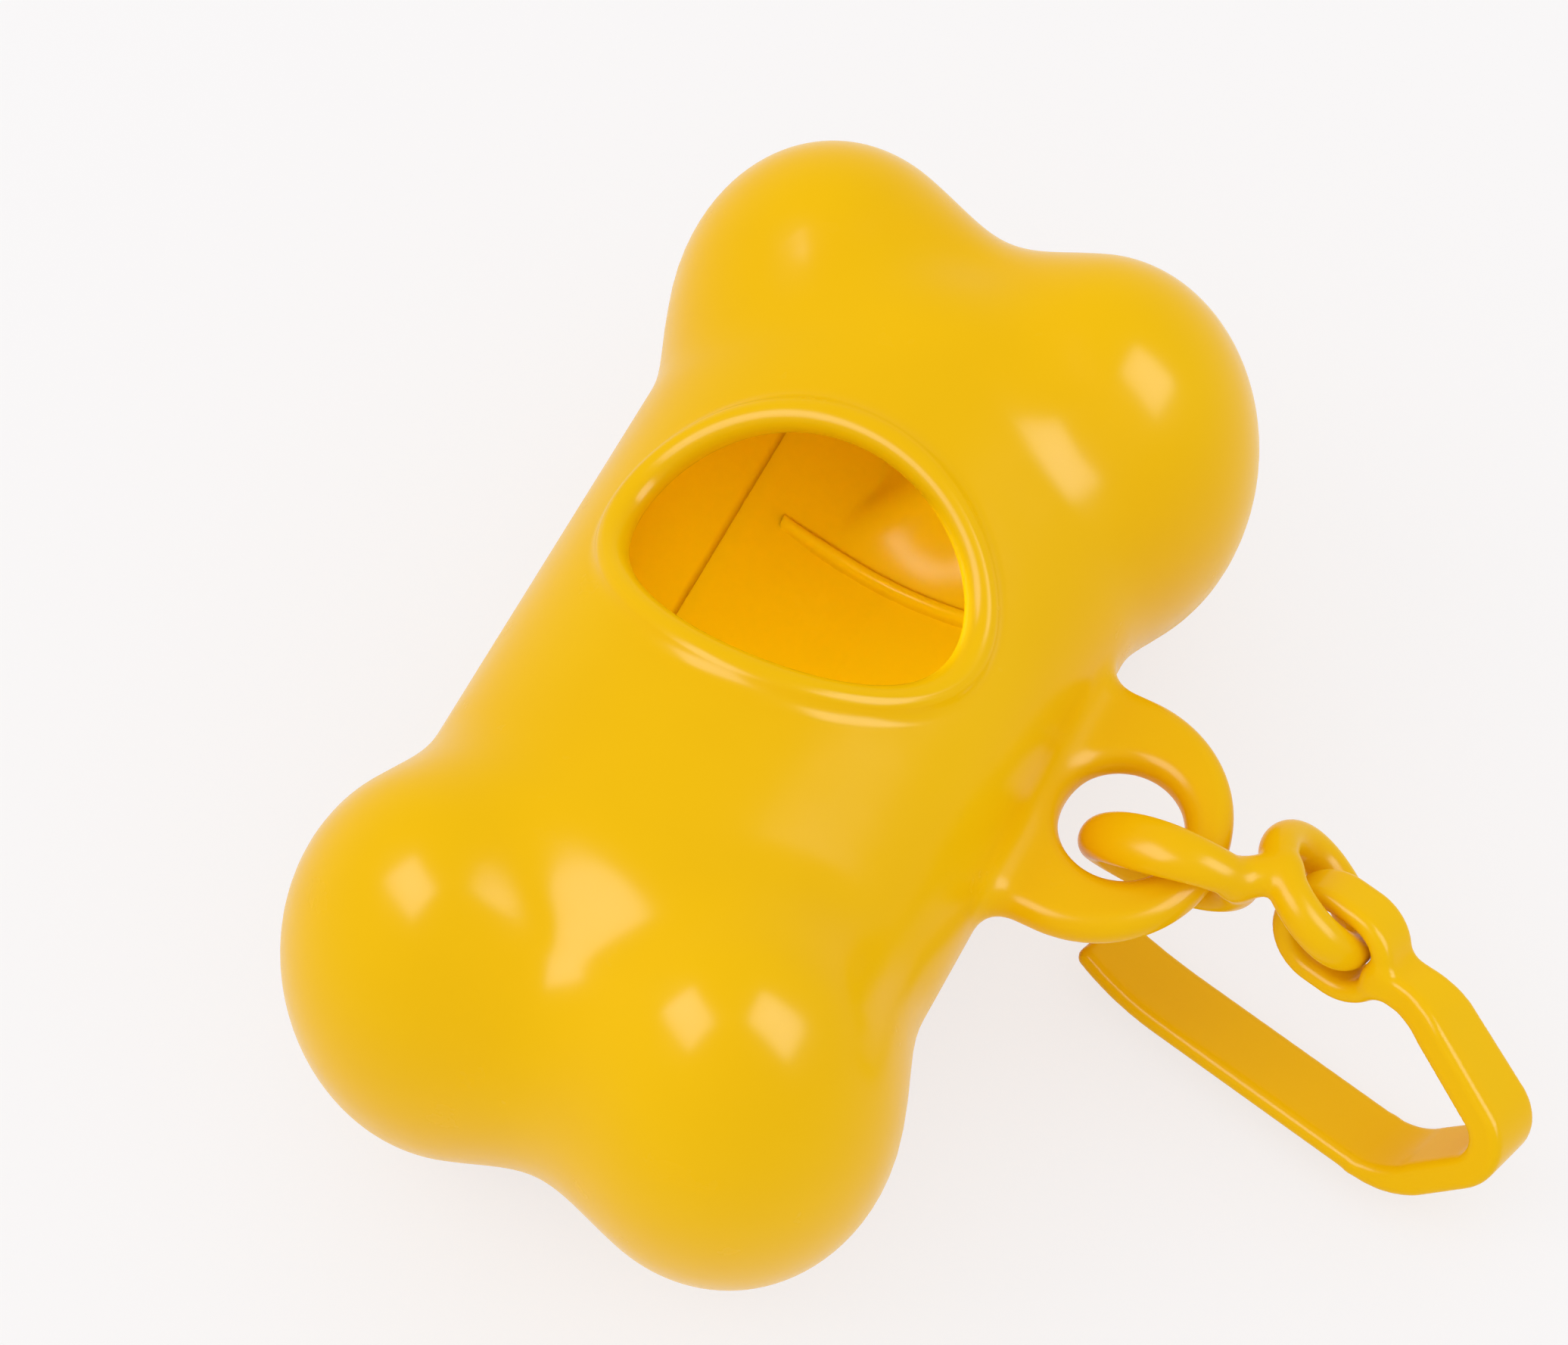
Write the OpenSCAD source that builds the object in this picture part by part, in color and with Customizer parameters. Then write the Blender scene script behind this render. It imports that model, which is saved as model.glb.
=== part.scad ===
// Bone-shaped dispenser for a roll of bags, with a link and a strap clip on its side lug.
// X points to the lug, Y along the bone, Z up out of the mouth. The origin is the middle of
// the flat back that the bone lies on. Sizes are in millimetres.

/* [Bone] */
// Half the distance between the two lobes of an end
lobe_x = 10.8; // [8:0.1:14]
// Half the distance between the ends' lobe centres
lobe_y = 29; // [26:0.5:40]
// Radius of a lobe, seen from the front
lobe_r = 12.6; // [11:0.1:15]
// Thickness of a lobe, front to back
lobe_t = 41; // [38:0.5:46]
// Diameter of the round waist
waist_d = 40.4; // [38:0.2:44]
// Rounding of the waist's ends, between the lobes
end_round = 7; // [2:0.5:10]
// Blend between the two lobes of an end
notch_blend = 9.5; // [6:0.5:12]
// Blend between the lobes and the waist
neck_blend = 3.2; // [2:0.2:6]
// Wall thickness of both shells
wall = 2; // [1.6:0.1:2.6]
// Depth of the flat ground into the round back
back_flat = 0.7; // [0.4:0.1:1]

/* [Mouth] */
// Length of the mouth across the bone
mouth_w = 26; // [20:0.2:28]
// Length of the mouth along the bone
mouth_l = 18.6; // [14:0.2:24]
// Offset of the mouth and the lug from the middle of the bone
mouth_y = 2.4; // [0:0.2:5]
// Radius of the rolled rim
rim_r = 1.3; // [0.9:0.1:1.8]
// Height of the rolled rim above the skin
rim_rise = 0.8; // [0.4:0.1:1.2]

/* [Back cover] */
// Depth of the parting plane below the bone's axis
parting = 13.2; // [10:0.1:14]
// Height of the locating lip on the cover
lip_h = 2; // [1.6:0.1:3]
// Width of the land that the two shells meet on, measured through the wall
land = 0.9; // [0.8:0.1:1.2]
// Seam between the two shells' meeting faces
seam = 0.2; // [0.1:0.05:0.3]
// Running gap round the lip
lip_gap = 0.4; // [0.25:0.05:0.4]
// Height of the snap bead on the lip
snap_bead = 0.1; // [0.1:0.05:0.15]
// Distance of the roll stops from the middle of the bone
stop_y = 21.2; // [16:0.2:24]
// Height of the roll stops above the cover's floor
stop_h = 0.8; // [0.6:0.1:2]
// Thickness of the roll stops
stop_t = 1.2; // [0.8:0.1:1.6]

/* [Lug] */
// Reach of the lug's tip from the bone's axis
lug_reach = 34.2; // [33:0.1:38]
// Half the width of the lug
lug_r = 10; // [9:0.1:12]
// Thickness of the lug
lug_t = 3.4; // [3:0.1:4]
// Radius of the lug's eye
eye_r = 4.6; // [4.2:0.1:5]
// Thickness of the arm between the eye and the tip
arm_w = 3.3; // [3:0.1:4]
// Rounding of the lug's edges
lug_round = 1.5; // [1:0.1:1.5]
// Fillet between the lug and the bone
root_fillet = 2; // [1:0.5:3]

/* [Link] */
// Thickness of the link's wire, across each loop
wire_t = 2.8; // [2.6:0.1:3.2]
// Width of the wire at the ends of each loop
wire_w = 3; // [2.6:0.1:3.4]
// Width of the wire at the flanks of the lug's loop
flank_w = 4.1; // [3:0.1:5]
// Width of the wire at the flanks of the clip's loop
clip_flank_w = 3.2; // [3:0.1:4]
// Half the length of the lug's loop, at the middle of the wire
lug_loop_l = 5.6; // [5:0.1:6.5]
// Half the width of the lug's loop, at the middle of the wire
lug_loop_w = 4.7; // [4.4:0.1:5.4]
// Radius of the clip's loop, at the middle of the wire
clip_loop_r = 4.6; // [4:0.1:5.2]
// Where the lug's loop lies, from the middle of the lug's arm
lug_loop_off = [-2.1, -0.62, -0.71];
// How the lug's loop is turned
lug_loop_turn = [-70.9, -22.3, -0.7];
// Where the clip's loop lies, from the lug's loop
clip_loop_off = [10.44, 3.3, -1.57];
// How the clip's loop is turned
clip_loop_turn = [0, 52.8, 45.4];
// Direction from the middle of the clip's loop to the neck between the loops
neck_side = [-0.563, -0.273, 0.78];

/* [Clip] */
// Where the clip's bend lies, from the clip's loop
bend_off = [10.042, -9.299, -15.239];
// How the clip lies: its lean, nothing, and its heading
clip_turn = [-25, 0, -11.5];
// Width of the clip at the bend and along the tongue
clip_w = 7; // [6:0.2:8]
// Width of the clip at the eyelet
eyelet_w = 4; // [3.6:0.2:5]
// How early the bow reaches the width of the eyelet, over the length of the bow
bow_taper = 1.1; // [1:0.05:1.3]
// Thickness of the tongue
tongue_t = 1.6; // [1.4:0.1:2]
// Length of the tongue from the bend to its tip
tongue_l = 26.8; // [20:0.1:30]
// Length of the tongue's upturned tip
tip_l = 9; // [4:0.5:12]
// Turn of the tongue's upturned tip, in degrees
tip_turn = 19; // [0:1:30]
// Thickness of the bow
bow_t = 2.6; // [2:0.1:3]
// Radius of the bend where the tongue meets the bow
bend_r = 6; // [4:0.5:8]
// Turn of the bend, in degrees
bend_turn = 48; // [30:1:60]
// Straight rise from the bend to the crown
rise_l = 4.3; // [3:0.1:8]
// Radius of the bow's crown
crown_r = 3.2; // [2.6:0.1:5]
// Turn of the crown, in degrees
crown_turn = 100; // [80:1:120]
// Straight run from the crown back over the tongue
back_l = 7; // [4:0.1:12]
// Radius of the turn that lays the bow level at the eyelet
set_r = 6; // [4:0.5:10]
// That turn, in degrees
set_turn = 32; // [20:1:40]
// Straight run into the eyelet
run_l = 2.2; // [1:0.1:4]
// Half the width of the eyelet's hole
eyelet_r = 2.5; // [2:0.1:2.8]
// Straight stretch in the eyelet's hole
eyelet_s = 1.6; // [0:0.2:3]
// Wall round the eyelet's hole
eyelet_wall = 1.7; // [1.6:0.1:2.4]
// Height of the hole's middle above the bow's end
eyelet_rise = 0.25; // [0:0.05:0.6]
// Rounding of the clip's edges
band_round = 0.7; // [0.4:0.1:0.8]
// Gap in the bend that the tongue turns in
bend_gap = 0.3; // [0.2:0.05:0.4]

/* [Hidden] */
plastic = [0.98, 0.77, 0.02];
columns = 80;
skin_rows = 15;
inner_rows = 9;
side_rows = 3;
rim_rows = 7;
cover_rows = 8;
end_bias = 1.6;
halvings = 17;
far = 60;
rim_foot = 8;
rim_step = 3;
bead_rows = [0.3, 0.5, 0.7];
root_rows = 4;
root_sink = 0.03;
tip_taper = 0.05;
axis_z = lobe_t / 2 - back_flat;
eye_x = lug_reach - arm_w - eye_r;
lug_loop_at = [lug_reach - arm_w / 2, mouth_y, 0] + lug_loop_off;
clip_loop_at = lug_loop_at + clip_loop_off;
clip_at = clip_loop_at + bend_off;

// ---- The bone's skin, and every skin inside it, as one smooth field ----
function blend(a, b, k) =
    let (h = max(0, min(1, 0.5 + 0.5 * (b - a) / k)))
    b * (1 - h) + a * h - k * h * (1 - h);
function lobe(p, side, inset) =
    let (r = lobe_r - inset, t = lobe_t / 2 - inset)
    (norm([(abs(p.x) - side * lobe_x) / r, (abs(p.y) - lobe_y) / r, p.z / t]) - 1) * r;
function waist(p, inset) =
    let (a = norm([p.x, p.z]) - waist_d / 2 + inset + end_round,
         b = abs(p.y) - lobe_y + inset + end_round)
    min(max(a, b), 0) + norm([max(a, 0), max(b, 0)]) - end_round;
function bone(p, inset) =
    blend(blend(lobe(p, 1, inset), lobe(p, -1, inset), notch_blend), waist(p, inset), neck_blend);

// Where a ray from o along d leaves the skin that lies inset below the surface
function exit(o, d, inset, lo = 0, hi = far, n = halvings) =
    let (m = (lo + hi) / 2)
    n == 0 ? m
    : bone(o + d * m, inset) < 0 ? exit(o, d, inset, m, hi, n - 1)
    : exit(o, d, inset, lo, m, n - 1);
function skin_at(o, d, inset) = o + d * exit(o, d, inset);
function outward(p, inset, e = 0.01) =
    let (g = [bone(p + [e, 0, 0], inset) - bone(p - [e, 0, 0], inset),
              bone(p + [0, e, 0], inset) - bone(p - [0, e, 0], inset),
              bone(p + [0, 0, e], inset) - bone(p - [0, 0, e], inset)])
    g / norm(g);

// ---- Points of one column of the shells, at azimuth a round the mouth's centre ----
mouth_c = [0, mouth_y, 0];
function plan(a) = [cos(a), sin(a), 0];
function tilt(a, t) = plan(a) * sin(t) + [0, 0, cos(t)];
function mouth_rad(a) =
    mouth_w * mouth_l / 2 / norm([mouth_l * cos(a), mouth_w * sin(a)]);
function polar(p) = atan2(norm([p.x, p.y - mouth_y]), p.z);
function level(a, z, inset) = skin_at(mouth_c + [0, 0, z], plan(a), inset);
function land_edge(a, extra) = level(a, -parting, land + extra);
function at_z(p, z) = [p.x, p.y, z];
function lip_z(share) = lip_h * share - parting;

function rim_column(a) =
    let (edge = skin_at(mouth_c + plan(a) * mouth_rad(a), [0, 0, 1], 0),
         n = outward(edge, 0),
         m = plan(a) - n * (plan(a) * n),
         c = edge + m / norm(m) * rim_r - n * (rim_r - rim_rise),
         foot = asin((rim_r - rim_rise) / rim_r) + rim_foot)
    [for (i = [0:rim_rows]) let (s = 180 - i * (180 - foot) / rim_rows)
        c + (m / norm(m) * cos(s) + n * sin(s)) * rim_r];
function front_column(a) =
    let (rim = rim_column(a),
         throat = rim[0] - outward(rim[0], 0) * (wall + rim_r),
         t_out = polar(rim[rim_rows]) + rim_step,
         t_in = polar(throat),
         seat = land_edge(a, 0),
         groove = level(a, -parting, land - snap_bead),
         top = max(-exit(at_z(seat, 0), [0, 0, -1], wall), lip_z(1) - lip_gap))
    concat(
        rim,
        [for (i = [0:skin_rows]) skin_at(mouth_c, tilt(a, t_out + (90 - t_out) * i / skin_rows), 0)],
        [for (i = [1:side_rows]) level(a, (seam - parting) * i / side_rows, 0)],
        [at_z(seat, seam - parting),
         at_z(seat, lip_z(bead_rows[0])),
         at_z(groove, lip_z(bead_rows[1])),
         at_z(seat, lip_z(bead_rows[2]))],
        [for (i = [side_rows:-1:1]) level(a, top * i / side_rows, wall)],
        [for (i = [inner_rows:-1:0]) skin_at(mouth_c, tilt(a, t_in + (90 - t_in) * i / inner_rows), wall)]);

function cover_column(a) =
    let (rim = level(a, -parting, 0) - mouth_c,
         seat = land_edge(a, lip_gap),
         bead = land_edge(a, lip_gap - snap_bead),
         inner = level(a, -parting, wall),
         reach = inner - mouth_c)
    concat(
        [for (i = [1:cover_rows - 1]) let (u = sin(90 * i / cover_rows))
            skin_at(mouth_c + at_z(rim * u, 0), [0, 0, -1], 0)],
        [rim + mouth_c,
         seat,
         at_z(seat, lip_z(bead_rows[0])),
         at_z(bead, lip_z(bead_rows[1])),
         at_z(seat, lip_z(bead_rows[2])),
         at_z(seat, lip_z(1)),
         at_z(inner, lip_z(1))],
        [for (i = [cover_rows:-1:1]) let (u = sin(90 * i / cover_rows))
            skin_at(mouth_c + at_z(reach * u, 0), [0, 0, -1], wall)]);

// ---- Closed meshes from columns of points ----
function quad(a, b, c, d) = [[a, b, c], [a, c, d]];
module ring_mesh(cols) {
    n = len(cols);
    m = len(cols[0]);
    faces = [for (i = [0:n - 1], j = [0:m - 1])
        each quad(i * m + j, ((i + 1) % n) * m + j,
                  ((i + 1) % n) * m + (j + 1) % m, i * m + (j + 1) % m)];
    polyhedron([for (c = cols) each c], faces);
}
module capped_mesh(cols, first, last) {
    n = len(cols);
    m = len(cols[0]);
    skin = [for (i = [0:n - 1], j = [0:m - 2])
        each quad(i * m + j, i * m + j + 1, ((i + 1) % n) * m + j + 1, ((i + 1) % n) * m + j)];
    start = [for (i = [0:n - 1]) [n * m, i * m, ((i + 1) % n) * m]];
    end = [for (i = [0:n - 1]) [n * m + 1, ((i + 1) % n) * m + m - 1, i * m + m - 1]];
    polyhedron([each [for (c = cols) each c], first, last], concat(skin, start, end));
}

// Directions round the mouth, closer together towards the two ends of the bone
function azimuths() = [for (i = [0:columns - 1]) let (t = 360 * i / columns)
    atan2(end_bias * sin(t), cos(t))];

module front_shell() {
    color(plastic) translate([0, 0, axis_z]) {
        ring_mesh([for (a = azimuths()) front_column(a)]);
        lug();
    }
}

module lug() {
    disc_x = lug_reach - lug_r;
    root_x = waist_d / 2 - wall / 2;
    flat = lug_t / 2 - lug_round;
    translate([0, mouth_y, 0]) difference() {
        union() {
            translate([disc_x, 0, 0]) rotate([0, 0, -90]) rotate_extrude(angle = 180, $fn = 72)
                rounded_edge(lug_r, flat);
            translate([root_x, 0, 0]) rotate([90, 0, 90]) linear_extrude(disc_x - root_x)
                rounded_strip(lug_r, flat);
            lug_root();
        }
        translate([eye_x, 0, 0]) eye_cut(flat);
    }
}

// The fillet that runs all round the lug where it leaves the bone
module lug_root() {
    rings = [for (i = [-1:root_rows]) let (b = 90 * max(i, 0) / root_rows)
        [for (q = root_ring(root_fillet * (1 - sin(b)) - root_sink))
            [exit([0, mouth_y + q[0], q[1]], [1, 0, 0], 0) - root_sink
                + (i < 0 ? -wall / 2 : root_fillet * (1 - cos(b))), q[0], q[1]]]];
    foot_x = waist_d / 2 - wall / 2;
    top_x = waist_d / 2 + root_fillet;
    capped_mesh([for (j = [0:len(rings[0]) - 1]) [for (ring = rings) ring[j]]],
        [foot_x, 0, 0], [top_x, 0, 0]);
}

// Outline of the lug's cross-section, s outside its surface
function root_ring(s) =
    let (r = lug_round + s, y = lug_r - lug_round, z = lug_t / 2 - lug_round, run = 6, arc = 8)
    [for (side = [1, -1]) each concat(
        [for (i = [0:arc]) let (a = 180 * i / arc - 90)
            side * [y + r * cos(a), sign(a) * z + r * sin(a)]],
        [for (i = [1:run - 1]) side * [y * (1 - 2 * i / run), z + r]])];

// Half profile of a disc with rounded edges
module rounded_edge(r, flat) {
    translate([0, -lug_t / 2]) square([r - lug_round, lug_t]);
    if (flat > 0) translate([0, -flat]) square([r, 2 * flat]);
    for (s = [-1, 1]) intersection() {
        translate([r - lug_round, s * flat]) circle(lug_round, $fn = 32);
        translate([0, -lug_t]) square([2 * r, 2 * lug_t]);
    }
}
module rounded_strip(r, flat) {
    for (s = [0, 1]) mirror([s, 0]) rounded_edge(r, flat);
}
module eye_cut(flat) {
    cylinder(h = 2 * lug_t, r = eye_r, center = true, $fn = 72);
    for (s = [0, 1]) mirror([0, 0, s]) rotate_extrude($fn = 72) difference() {
        translate([eye_r - 0.1, flat]) square([lug_round + 0.1, lug_t]);
        translate([eye_r + lug_round, flat]) circle(lug_round, $fn = 32);
    }
}

module back_cover() {
    bottom = skin_at(mouth_c, [0, 0, -1], 0);
    floor_in = skin_at(mouth_c, [0, 0, -1], wall);
    color(plastic) translate([0, 0, axis_z]) difference() {
        union() {
            capped_mesh([for (a = azimuths()) cover_column(a)], bottom, floor_in);
            for (side = [-1, 1]) roll_stop(side * stop_y);
        }
        translate([-far / 2, -far, -axis_z - far]) cube([far, 2 * far, far]);
    }
}

// A low rib across the cover's floor that keeps the roll in the middle
module roll_stop(y) {
    steps = 16;
    sweep = 11;
    function floor_at(x, inset) = -exit([x, y, 0], [0, 0, -1], inset);
    translate([0, y + stop_t / 2, 0]) rotate([90, 0, 0]) linear_extrude(stop_t) polygon(concat(
        [for (i = [0:steps]) let (x = sweep * (2 * i / steps - 1)) [x, floor_at(x, wall / 2)]],
        [for (i = [steps:-1:0]) let (x = sweep * (2 * i / steps - 1)) [x, floor_at(x, wall + stop_h)]]));
}

module chain_link() {
    end = lug_loop_at + [cos(lug_loop_turn.y) * cos(lug_loop_turn.z),
                         cos(lug_loop_turn.y) * sin(lug_loop_turn.z),
                         -sin(lug_loop_turn.y)] * lug_loop_l;
    neck = clip_loop_at + neck_side * clip_loop_r - end;
    color(plastic) translate([0, 0, axis_z]) {
        translate(lug_loop_at) rotate(lug_loop_turn) loop(lug_loop_l, lug_loop_w, flank_w);
        translate(clip_loop_at) rotate(clip_loop_turn) loop(clip_loop_r, clip_loop_r, clip_flank_w);
        translate(end) rotate([0, acos(neck.z / norm(neck)), atan2(neck.y, neck.x)])
            cylinder(h = norm(neck), d = wire_w, $fn = 48);
    }
}

// An oval loop of wire, wider at its two flanks than at its two ends
module loop(half_l, half_w, flank) {
    steps = 40;
    sides = 14;
    ring_mesh([for (i = [0:steps - 1])
        let (t = 360 * i / steps,
             c = [half_l * cos(t), half_w * sin(t), 0],
             out = [half_w * cos(t), half_l * sin(t), 0],
             w = wire_w + (flank - wire_w) * pow(sin(t), 2))
        [for (j = [0:sides - 1]) let (a = -360 * j / sides)
            c + out / norm(out) * cos(a) * wire_t / 2 + [0, 0, sin(a) * w / 2]]]);
}

// ---- The clip, drawn from its bend: x away from the tongue, y across the band, z towards the bow ----
function arc_end(p, h, r, turn) =
    [p.x + r * (sin(h + turn) - sin(h)), 0, p.z - r * (cos(h + turn) - cos(h))];
function arc_path(p, h, r, turn, n) =
    [for (i = [1:n]) let (t = turn * i / n) [arc_end(p, h, r, t), h + t]];
function line_end(p, h, l) = p + [cos(h), 0, sin(h)] * l;
function bow_path() =
    let (a = arc_path([0, 0, 0], 0, bend_r, bend_turn, 8),
         p1 = line_end(a[7][0], bend_turn, rise_l),
         b = arc_path(p1, bend_turn, crown_r, crown_turn, 12),
         h = bend_turn + crown_turn,
         p2 = line_end(b[11][0], h, back_l),
         c = arc_path(p2, h, set_r, set_turn, 6),
         p3 = line_end(c[5][0], h + set_turn, run_l))
    concat([[[0, 0, 0], 0]], a, [[p1, bend_turn]], b, [[p2, h]], c, [[p3, h + set_turn]]);

// Rounded oblong section across a path at p with heading h, as a loop of points
function band(p, h, w, t, r) =
    [for (q = [0:3], i = [0:3])
        let (a = 90 * q + 30 * i,
             y = (q == 0 || q == 3 ? 1 : -1) * (w / 2 - r) + r * cos(a),
             v = (q < 2 ? 1 : -1) * (t / 2 - r) + r * sin(a))
        p + [-v * sin(h), y, v * cos(h)]];
module swept(loops) {
    n = len(loops);
    m = len(loops[0]);
    sides = [for (i = [0:n - 2], j = [0:m - 1])
        each quad(i * m + j, (i + 1) * m + j, (i + 1) * m + (j + 1) % m, i * m + (j + 1) % m)];
    polyhedron([for (c = loops) each c],
        concat(sides, [[for (j = [0:m - 1]) j]], [[for (j = [m - 1:-1:0]) (n - 1) * m + j]]));
}

module in_clip_frame() {
    color(plastic) translate([0, 0, axis_z] + clip_at) rotate(clip_turn) children();
}
module across(r, w) {
    rotate([90, 0, 0]) cylinder(h = w, r = r, center = true, $fn = 48);
}

module clip_bow() {
    path = bow_path();
    n = len(path) - 1;
    end = path[n][0];
    ring_r = eyelet_r + eyelet_wall / 2;
    in_clip_frame() {
        difference() {
            swept([for (i = [0:n]) let (u = i / n)
                band(path[i][0], path[i][1], clip_w + (eyelet_w - clip_w) * pow(min(1, bow_taper * u), 1.5),
                     tongue_t + (bow_t - tongue_t) * min(1, 4 * u), band_round)]);
            across(tongue_t / 2 + bend_gap, 2 * clip_w);
        }
        translate(end + [-eyelet_s - ring_r, 0, eyelet_rise]) eyelet(ring_r);
    }
}

// The eyelet: a rounded band round a slotted hole, with its right end at the bow
module eyelet(r) {
    steps = 16;
    ring_mesh([for (i = [2 * steps + 1:-1:0])
        let (half = i <= steps ? 0 : 1,
             a = -90 + 180 * (half == 0 ? i : i - 1) / steps,
             c = [half == 0 ? eyelet_s : 0, 0, 0])
        [for (q = band([0, 0, 0], 0, eyelet_w, eyelet_wall, eyelet_wall / 2))
            c + [cos(a) * (r + q.z), q.y, sin(a) * (r + q.z)]]]);
}

module clip_tongue() {
    straight = tongue_l - tip_l;
    tip_r = -tip_l / tip_turn * 180 / PI;
    tip = arc_path([-straight, 0, 0], 180, tip_r, -tip_turn, 5);
    in_clip_frame() {
        swept(concat(
            [for (l = [0, straight / 2, straight])
                band([-l, 0, 0], 180, clip_w, tongue_t, band_round)],
            [for (i = [0:4]) band(tip[i][0], tip[i][1], clip_w - tip_taper * i * i, tongue_t, band_round)]));
        across(tongue_t / 2, clip_w - 2 * bend_gap);
    }
}

front_shell();
back_cover();
chain_link();
clip_bow();
clip_tongue();
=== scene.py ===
"""Looks of the bone-shaped bag dispenser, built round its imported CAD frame.

The shells, the link and the clip are meshed here from the fields of the CAD source, finely
enough for gloss. The cover's lip, the foot of the rim and the inside of the lobes differ from
it. Fields work in millimetres from the bone's axis, and each mesh is then moved up by AXIS_Z
and scaled to metres.
"""

import math

import bmesh
import bpy
import numpy as np
from mathutils import Matrix, Vector
from mathutils.geometry import delaunay_2d_cdt


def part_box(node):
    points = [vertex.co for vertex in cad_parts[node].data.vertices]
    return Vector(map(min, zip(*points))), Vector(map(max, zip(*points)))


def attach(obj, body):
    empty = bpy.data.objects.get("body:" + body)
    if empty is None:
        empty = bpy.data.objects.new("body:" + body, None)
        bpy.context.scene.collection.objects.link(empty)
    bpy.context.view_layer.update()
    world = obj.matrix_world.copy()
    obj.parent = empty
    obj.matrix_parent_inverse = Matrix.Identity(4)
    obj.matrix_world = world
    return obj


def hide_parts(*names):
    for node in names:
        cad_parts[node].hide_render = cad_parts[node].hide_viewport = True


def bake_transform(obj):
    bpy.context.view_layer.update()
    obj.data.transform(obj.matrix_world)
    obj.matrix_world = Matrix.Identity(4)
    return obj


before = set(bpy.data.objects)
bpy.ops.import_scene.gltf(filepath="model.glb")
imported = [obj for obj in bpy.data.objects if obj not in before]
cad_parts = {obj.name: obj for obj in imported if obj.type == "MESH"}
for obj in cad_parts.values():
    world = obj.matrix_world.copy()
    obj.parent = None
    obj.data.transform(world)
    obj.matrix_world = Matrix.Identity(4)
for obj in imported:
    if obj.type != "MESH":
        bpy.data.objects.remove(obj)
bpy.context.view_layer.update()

MM = 0.001

# ---- Sizes in millimetres and degrees, as in the CAD source but where a comment differs ----
LOBE_X, LOBE_Y, LOBE_R, LOBE_T = 10.8, 29.0, 12.6, 41.0
WAIST_D, END_ROUND, NOTCH_BLEND, NECK_BLEND = 40.4, 7.0, 9.5, 3.2
WALL, BACK_FLAT = 2.0, 0.7
AXIS_Z = LOBE_T / 2 - BACK_FLAT
MOUTH_W, MOUTH_L, MOUTH_Y, RIM_R, RIM_RISE = 26.0, 18.6, 2.4, 1.3, 0.8
PARTING, LAND, SEAM = 13.2, 0.9, 0.2
# This scene's own: the straight tube that the inside is kept within, the fillet at the rim's
# foot, a lip that is lower, closer to its seat and with a finer bead, and the lug's root blend
TUBE_R, RIM_FOOT = WAIST_D / 2 - WALL, 2.0
LIP_H, LIP_GAP, BEAD = 1.2, 0.1, 0.05
ROOT_BLEND = 2.6
# Heights of the bead's foot, crest and foot, as shares of the lip
BEAD_SHARES = (0.3, 0.5, 0.7)
STOP_Y, STOP_H, STOP_T = 21.2, 0.8, 1.2
# Half the stops' width, the power that squares off their top, and how far their foot is raised
STOP_HALF_W, STOP_CROWN, STOP_LIFT = 11, 0.6, 0.02
LUG_REACH, LUG_R, LUG_T, EYE_R, ARM_W, LUG_ROUND = 34.2, 10.0, 3.4, 4.6, 3.3, 1.5
EYE_X = LUG_REACH - ARM_W - EYE_R
WIRE_T, WIRE_W, LUG_FLANK, CLIP_FLANK = 2.8, 3.0, 4.1, 3.2
LUG_LOOP_L, LUG_LOOP_W, CLIP_LOOP_R = 5.6, 4.7, 4.6
LUG_LOOP_AT = np.array([LUG_REACH - ARM_W / 2 - 2.1, MOUTH_Y - 0.62, -0.71])
LUG_LOOP_TURN = (-70.9, -22.3, -0.7)
CLIP_LOOP_AT = LUG_LOOP_AT + np.array([10.44, 3.3, -1.57])
CLIP_LOOP_TURN = (0.0, 52.8, 45.4)
NECK_SIDE = np.array([-0.563, -0.273, 0.78])
CLIP_AT = CLIP_LOOP_AT + np.array([10.042, -9.299, -15.239])
CLIP_TURN = (-25.0, 0.0, -11.5)
CLIP_W, EYELET_W, TONGUE_T, TONGUE_L, TIP_L, TIP_TURN = 7.0, 4.0, 1.6, 26.8, 9.0, 19.0
BOW_T, BEND_R, BEND_TURN, RISE_L = 2.6, 6.0, 48.0, 4.3
CROWN_R, CROWN_TURN, BACK_L, SET_R, SET_TURN, RUN_L = 3.2, 100.0, 7.0, 6.0, 32.0, 2.2
EYELET_R, EYELET_S, EYELET_WALL, EYELET_RISE = 2.5, 1.6, 1.7, 0.25
BAND_ROUND = 0.7
# The bow narrows and thickens away from the bend, and the tongue narrows in its last part
BOW_TAPER, BOW_TAPER_POWER, BOW_THICKEN = 1.1, 1.5, 4
TONGUE_TAPER, TONGUE_TAPER_AT = 0.8, 0.4
# Share of the tip's turn that the tongue's middle line takes
TIP_SHARE = 0.8
# Half the narrow flat left between the two roundings of the eyelet's edge
EYELET_LAND = 0.05
# Blends of link and clip
LOOP_BLEND, LINK_NECK_BLEND, BEND_BLEND, EYELET_BLEND = 0.8, 0.6, 0.3, 0.9

# ---- Fineness of the meshes ----
COLUMNS = 320
# The columns stand closer together towards the ends of the bone
END_CROWDING = 1.6
RIM_ROWS, FOOT_ROWS, SKIN_ROWS, SIDE_ROWS, INNER_SIDE_ROWS, INNER_ROWS = 24, 9, 73, 27, 20, 60
# Share of the way up to the rim that the inner skin's rows leave open
INNER_END = 0.012
DISH_ROWS = 52
LUG_STEP, WIRE_STEP, NET_MARGIN = 0.36, 0.3, 1.5
# Distances from the lug's section within which the shell's mesh is cut away and the net kept
HOLE, PATCH = 4.4, 3.2
# The cut's least x, the net's least x, and how near to the skin a vertex counts as on it
CUT_X, NET_X, ON_SKIN = 15, 16.0, 0.05
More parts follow.
